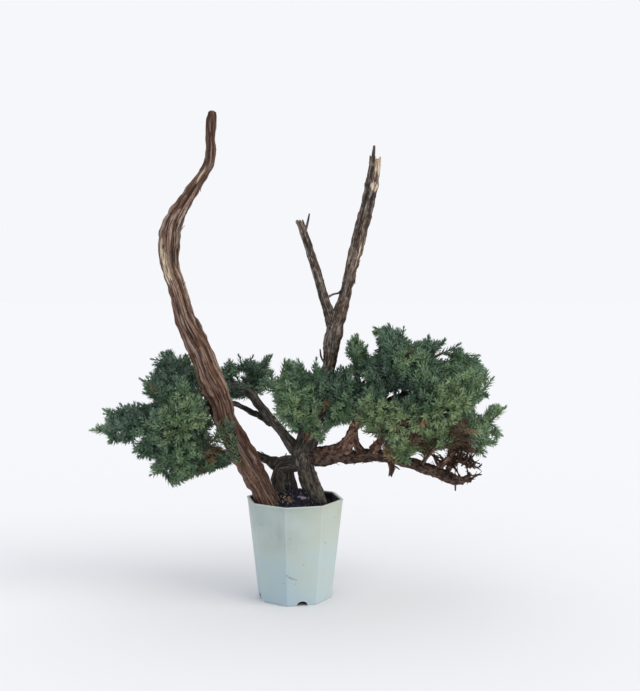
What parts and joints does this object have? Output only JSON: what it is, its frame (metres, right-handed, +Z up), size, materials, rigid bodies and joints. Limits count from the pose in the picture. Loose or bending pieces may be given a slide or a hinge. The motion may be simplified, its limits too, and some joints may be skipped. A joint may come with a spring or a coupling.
{
  "type": "bonsai tree in a pot",
  "caption": "Needle-leaved juniper pre-bonsai with bare curved stems and a forked snag, in a tapered eight-sided pot of soil.",
  "frame": {"origin": "middle of the pot's foot, on the surface that it stands on", "axes": "+Z up along the pot, -Y towards the side that the plant is viewed from, +X to its right"},
  "size_m": [0.5204, 0.1768, 0.5907],
  "materials": {
    "pot_plastic": "satin moulded plastic, pale grey-green",
    "potting_mix": "dark crumbly potting mix",
    "juniper_bark": "fibrous furrowed bark",
    "needles": "waxy blue-green needles",
    "bark_chip": "rough",
    "pink_grit": "rough",
    "pale_grit": "rough"
  },
  "bodies": {
    "root": {"pot": "pot_plastic", "soil": "potting_mix", "wood": "juniper_bark", "bark_chip": "bark_chip", "pink_grit": "pink_grit", "pale_grit": "pale_grit", "spray_leftCrown": "needles", "spray_leftInner": "needles", "spray_leftOuter": "needles", "spray_leftBack": "needles", "spray_leftFront": "needles", "spray_leftFarHigh": "needles", "spray_leftFarTip": "needles", "spray_leftFarBack": "needles", "spray_leftFarFront": "needles", "spray_leftLowOuter": "needles", "spray_leftLow": "needles", "spray_leftLowFront": "needles", "spray_leftLowBack": "needles", "spray_leftLowInner": "needles", "spray_stemSprig": "needles", "spray_backLeftLow": "needles", "spray_backLeftHigh": "needles", "spray_backLeftRight": "needles", "spray_middleLeft": "needles", "spray_middleLeftLow": "needles", "spray_middleTop": "needles", "spray_middleFront": "needles", "spray_middleLow": "needles", "spray_middleRight": "needles", "spray_middleRightLow": "needles", "spray_middleRear": "needles", "spray_topLeft": "needles", "spray_top": "needles", "spray_topRight": "needles", "spray_rightHigh": "needles", "spray_rightTip": "needles", "spray_rightFar": "needles", "spray_rightUnder": "needles", "spray_rightLowFront": "needles", "spray_rightLowMid": "needles", "spray_rightLowLeft": "needles", "spray_frontLeft": "needles", "spray_frontMid": "needles", "spray_frontRight": "needles", "spray_frontFar": "needles", "spray_topFront": "needles", "spray_backInner": "needles", "spray_backTop": "needles", "spray_backRight": "needles", "spray_backFar": "needles", "spray_backLow": "needles", "spray_backUnder": "needles"}
  },
  "joints": []
}
